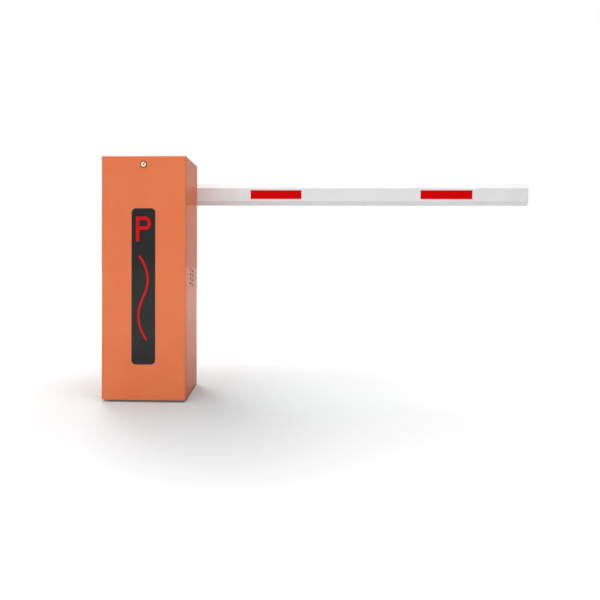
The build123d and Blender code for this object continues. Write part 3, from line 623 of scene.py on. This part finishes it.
# Face of the control unit: cover screws, window, keys, plugs and lamps
UNIT_SCREW_X = (-97, 97)
UNIT_SCREW_Z = (458, 572)
WINDOW_SHAPE = rounded(74, 30, 3)
WINDOW_X = -48
WINDOW_Z = 540
WINDOW_THICKNESS = 0.8
KEY_X = (10, 34, 58, 82)
KEY_Z = 546
KEY = ((0, 0), (7.5, 0), (7.5, 1), (5.6, 1.2), (5.6, 3), (4.8, 3.6), (0, 3.2))
PLUG_SHAPE = rounded(24, 11, 1)
PLUG_COUNT = 6
PLUG_PITCH = 30
PLUG_FIRST_X = -75
PLUG_Z = 466
PLUG_BACK = -8
PLUG_RISE = 5
PLUG_SCREW_X = (-10, -5, 0, 5, 10)
PLUG_SCREW = ((0, 0), (1.6, 0), (1.6, 1.2), (0, 0.8))
UNIT_LAMP_X = (10, 22, 34)
UNIT_LAMP_Z = 520
UNIT_LAMP = ((0, 0), (2.4, 0), (2.4, 0.8), (1.6, 1.8), (0, 2.2))

with piece("unit_screws", "cabinet", "zinc_steel") as mesh:
    screws(mesh, BUTTON_HEAD, M4, front, UNIT_FACE, UNIT_SCREW_X, UNIT_SCREW_Z)
with piece("unit_window", "cabinet", "dark_pane") as mesh:
    prism(mesh, WINDOW_SHAPE, 0, WINDOW_THICKNESS, front(WINDOW_X, UNIT_FACE, WINDOW_Z))
with piece("unit_keys", "cabinet", "black_plastic", edge=0.2) as mesh:
    for x in KEY_X:
        lathe(mesh, KEY, front(x, UNIT_FACE, KEY_Z))
with piece("unit_plugs", "cabinet", "grey_plastic", edge=0.3, surface="green_plastic") as mesh:
    for k in range(PLUG_COUNT):
        plug_x = PLUG_FIRST_X + PLUG_PITCH * k
        prism(mesh, PLUG_SHAPE, PLUG_BACK, PLUG_RISE, front(plug_x, UNIT_FACE, PLUG_Z))
        for x in PLUG_SCREW_X:
            lathe(mesh, PLUG_SCREW, front(plug_x + x, UNIT_FACE - PLUG_RISE, PLUG_Z))
with piece("unit_lamps", "cabinet", "red_light", edge=0) as mesh:
    for x in UNIT_LAMP_X:
        lathe(mesh, UNIT_LAMP, front(x, UNIT_FACE, UNIT_LAMP_Z))

# Circuit breaker and terminals: toggle bar, black strips of painted shade in the gaps between
# the poles and between the terminals, and screws
RAIL_Z = 360
POLE_X = (-98, -80, -62)
POLE_SHAPE = rounded(8, 14, 1.5)
POLE_RISE = 1.5
POLE_GAP_X = (-89, -71)
POLE_GAP_SHAPE = rounded(0.8, 40, 0.3)
POLE_GAP_RISE = 0.25
TOGGLE_X = -80
TOGGLE_SHAPE = ((-13, -5), (13, -5), (15, -2), (15, 4), (-15, 4), (-15, -2))
TOGGLE_RISE = 9
BREAKER_SCREW_Z = (RAIL_Z - 32, RAIL_Z + 32)
BREAKER_SCREW = ((0, 0), (4.2, 0), (4.2, 0.7), (1.2, 0.9), (1.2, 0.3), (0, 0.3))
TERMINAL_X = range(-7, 98, 8)
TERMINAL_SCREW = ((0, 0), (2.7, 0), (2.7, 0.8), (0.9, 0.9), (0.9, 0.3), (0, 0.3))
TERMINAL_GAP_X = range(-3, 94, 8)
TERMINAL_GAP_SHAPE = rounded(0.7, 49, 0.3)
TERMINAL_GAP_RISE = 0.3

with piece("breaker_toggle", "cabinet", "black_plastic", edge=0.3) as mesh:
    prism(mesh, TOGGLE_SHAPE, 0, TOGGLE_RISE, front(TOGGLE_X, BREAKER_NOSE, RAIL_Z))
    for x in POLE_X:
        prism(mesh, POLE_SHAPE, BREAKER_SUNK, POLE_RISE, front(x, BREAKER_NOSE, RAIL_Z))
    # Painted shade: black strips in the gaps between the poles
    for x in POLE_GAP_X:
        prism(mesh, POLE_GAP_SHAPE, BREAKER_SUNK, POLE_GAP_RISE, front(x, BREAKER_NOSE, RAIL_Z))
with piece("terminal_screws", "cabinet", "zinc_steel", edge=0.1) as mesh:
    screws(mesh, BREAKER_SCREW, 1, front, BREAKER_SHOULDER, POLE_X, BREAKER_SCREW_Z)
    screws(mesh, TERMINAL_SCREW, 1, front, TERMINAL_FACE, TERMINAL_X, (RAIL_Z,))
# Painted shade: black strips in the gaps between the terminals
with piece("terminal_gap_shade", "cabinet", "black_plastic", edge=0) as mesh:
    for x in TERMINAL_GAP_X:
        gap = front(x, TERMINAL_FACE, RAIL_Z)
        prism(mesh, TERMINAL_GAP_SHAPE, SUNK, TERMINAL_GAP_RISE, gap)

# Rubber trim on the cable opening's collar, and the earth stud with its two nuts
TRIM_OUTSIDE = rounded(159, 119, 3)
TRIM_INSIDE = rounded(145, 105, 2)
TRIM_FOOT = 20
TRIM_TOP = 27
BASE_TOP = 6
STUD_PLACE = (-110, -86)
STUD_THREAD = 14
UPPER_WASHER = 8
UPPER_NUT_FOOT = 9.5
UPPER_NUT_TOP = 15

with piece("collar_trim", "cabinet", "black_plastic", edge=1.5) as mesh:
    ring(mesh, TRIM_OUTSIDE, TRIM_INSIDE, TRIM_FOOT, TRIM_TOP, upward(0, 0, 0))
with piece("earth_stud", "cabinet", "zinc_steel") as mesh:
    stud = upward(*STUD_PLACE, BASE_TOP)
    hex_head(mesh, stud, M8, STUD_THREAD)
    lathe(mesh, WASHER, upward(*STUD_PLACE, BASE_TOP + UPPER_WASHER), M8)
    prism(mesh, hexagon(HEX_ACROSS_FLATS * M8), UPPER_NUT_FOOT, UPPER_NUT_TOP, stud)


# Studio

FLOOR_REACH = 12
FLOOR_ROUGHNESS = 0.9
# The floor's colour is painted darker under the object, a painted shadow on top of the real one.
# Its painted shade and glow follow the distance from that place, which is divided by the fades
# along X and Y.
FLOOR_SHADE_X = 0.27
FLOOR_SHADE_Y = -0.15
FLOOR_FADE_X = 1.3
FLOOR_FADE_Y = 0.95
FLOOR_PAINTED_SHADE = (0.47, 0.49, 0.494, 1)
FLOOR_FAR = 0.76
FLOOR_PAINTED_SHADE_END = 0.1
FLOOR_FAR_START = 1
FLOOR_LIFT = 0.06
FLOOR_WHITE = 1.0
FLOOR_WHITE_START = 0.9
FLOOR_WHITE_END = 4.0
# Strength of the world's soft light, its share left at the right, and where along X it fades
WORLD_LIGHT = 0.7
WORLD_RIGHT = 0.1
WORLD_FADE_START = -0.2
WORLD_FADE_END = 0.7
# Name, place, point it shines on, width and height, watts, and whether it is mirrored
LAMPS = (
    ("key", (-1.8, -3.2, 3.0), (0.2, 0, 0.5), (2.2, 2.2), 18, True),
    ("top", (0.4, -0.5, 4.2), (0.6, 0.1, 0.5), (3.4, 2.0), 118, False),
    ("far", (1.7, -1.2, 3.4), (1.4, 0.2, 0.9), (1.4, 1.4), 11, False),
    ("foot", (0.1, -2.0, 0.32), (0.05, -0.14, 0.15), (2.4, 0.5), 8.8, False),
    ("back", (-1.3, 2.2, 3.6), (0.2, 0, 0.3), (1.4, 1.4), 85, False),
)


def stage_plane(name, reach, surface):
    mesh = bpy.data.meshes.new(name)
    corners = [(x, y, 0) for x, y in box(-reach, reach, -reach, reach)]
    mesh.from_pydata(corners, [], [(0, 1, 2, 3)])
    plane = bpy.data.objects.new(name, mesh)
    show(plane, surface)


def white_rays(tree):
    """1 for the rays that look straight at a surface, in a reflection or through glass."""
    path = add(tree, "ShaderNodeLightPath")
    seen = add(tree, "ShaderNodeMath", operation="MAXIMUM")
    tree.links.new(path.outputs["Is Camera Ray"], seen.inputs[0])
    tree.links.new(path.outputs["Is Glossy Ray"], seen.inputs[1])
    every = add(tree, "ShaderNodeMath", operation="MAXIMUM")
    tree.links.new(seen.outputs[0], every.inputs[0])
    tree.links.new(path.outputs["Is Transmission Ray"], every.inputs[1])
    return every.outputs[0]


def map_range(tree, value, from_min, from_max, to_min, to_max):
    node = add(tree, "ShaderNodeMapRange")
    node.inputs["From Min"].default_value = from_min
    node.inputs["From Max"].default_value = from_max
    node.inputs["To Min"].default_value = to_min
    node.inputs["To Max"].default_value = to_max
    tree.links.new(value, node.inputs["Value"])
    return node


def floor_material():
    """Near-white floor that shows the shadow, darkened under the object by painted shade, and
    reaches full white away from it.
    """
    made, tree, shader = material("floor")
    mapping = add(tree, "ShaderNodeMapping")
    mapping.inputs["Scale"].default_value = (1 / FLOOR_FADE_X, 1 / FLOOR_FADE_Y, 0)
    mapping.inputs["Location"].default_value = (
        -FLOOR_SHADE_X / FLOOR_FADE_X, -FLOOR_SHADE_Y / FLOOR_FADE_Y, 0,
    )
    tree.links.new(own_coordinates(tree), mapping.inputs["Vector"])
    length = add(tree, "ShaderNodeVectorMath", operation="LENGTH")
    tree.links.new(mapping.outputs["Vector"], length.inputs[0])
    reach = length.outputs["Value"]
    # Painted shadow: the floor's colour is darker near the object
    shade = ramp(tree, reach, FLOOR_PAINTED_SHADE, FLOOR_FAR, FLOOR_PAINTED_SHADE_END, FLOOR_FAR_START)
    tree.links.new(shade, shader.inputs["Base Color"])
    glow = map_range(
        tree, reach, FLOOR_WHITE_START, FLOOR_WHITE_END, FLOOR_LIFT, FLOOR_WHITE,
    )
    lift = add(tree, "ShaderNodeMath", operation="MULTIPLY")
    tree.links.new(white_rays(tree), lift.inputs[0])
    tree.links.new(glow.outputs["Result"], lift.inputs[1])
    tree.links.new(lift.outputs[0], shader.inputs["Emission Strength"])
    shader.inputs["Emission Color"].default_value = (1, 1, 1, 1)
    shader.inputs["Roughness"].default_value = FLOOR_ROUGHNESS
    return made


def set_world():
    """White to the camera and in reflections, elsewhere a soft light that fades to the right."""
    world = bpy.data.worlds.new("studio")
    bpy.context.scene.world = world
    world.use_nodes = True
    tree = world.node_tree
    background = tree.nodes["Background"]
    background.inputs["Color"].default_value = (1, 1, 1, 1)
    place = add(tree, "ShaderNodeTexCoord")
    axes = add(tree, "ShaderNodeSeparateXYZ")
    tree.links.new(place.outputs["Generated"], axes.inputs["Vector"])
    side_light = map_range(
        tree, axes.outputs["X"], WORLD_FADE_START, WORLD_FADE_END,
        WORLD_LIGHT, WORLD_LIGHT * WORLD_RIGHT,
    )
    # From the side light to full white
    strength = map_range(tree, white_rays(tree), 0, 1, 0, 1)
    tree.links.new(side_light.outputs["Result"], strength.inputs["To Min"])
    tree.links.new(strength.outputs["Result"], background.inputs["Strength"])


def area_light(name, place, aim, size, power, mirrored):
    data = bpy.data.lights.new(name, "AREA")
    data.shape = "RECTANGLE"
    data.size, data.size_y = size
    data.energy = power
    lamp = bpy.data.objects.new(name, data)
    lamp.location = place
    lamp.rotation_euler = (Vector(aim) - Vector(place)).to_track_quat("-Z", "Y").to_euler()
    lamp.visible_camera = False
    lamp.visible_glossy = mirrored
    bpy.context.scene.collection.objects.link(lamp)


stage_plane("floor", FLOOR_REACH, floor_material())
set_world()
for lamp in LAMPS:
    area_light(*lamp)


# Camera, fitted to the photograph's cabinet corners and boom

IMAGE_SIZE = 600
SENSOR = 36.0
FOCAL_PIXELS = 523.3
CENTRE_PIXEL = (268.0, 248.7)
CAMERA_PLACE = Vector((0.5667, -2.2595, 0.6433))
CAMERA_YAW = radians(-1.596)
CAMERA_PITCH = radians(-0.383)
CAMERA_ROLL = radians(0.189)
CLIP_END = 100


def set_camera():
    data = bpy.data.cameras.new("camera")
    data.sensor_width = SENSOR
    data.lens = FOCAL_PIXELS * SENSOR / IMAGE_SIZE
    data.shift_x = (IMAGE_SIZE / 2 - CENTRE_PIXEL[0]) / IMAGE_SIZE
    data.shift_y = (CENTRE_PIXEL[1] - IMAGE_SIZE / 2) / IMAGE_SIZE
    data.clip_end = CLIP_END
    ahead = Vector((
        sin(CAMERA_YAW) * cos(CAMERA_PITCH),
        cos(CAMERA_YAW) * cos(CAMERA_PITCH),
        sin(CAMERA_PITCH),
    ))
    level = Vector((cos(CAMERA_YAW), -sin(CAMERA_YAW), 0))
    above = level.cross(ahead)
    across = level * cos(CAMERA_ROLL) + above * sin(CAMERA_ROLL)
    up = across.cross(ahead)
    turn = Matrix((across, up, -ahead)).transposed()
    camera = bpy.data.objects.new("camera", data)
    camera.matrix_world = Matrix.Translation(CAMERA_PLACE) @ turn.to_4x4()
    bpy.context.scene.collection.objects.link(camera)
    bpy.context.scene.camera = camera


set_camera()
bpy.context.scene.view_settings.view_transform = "Standard"
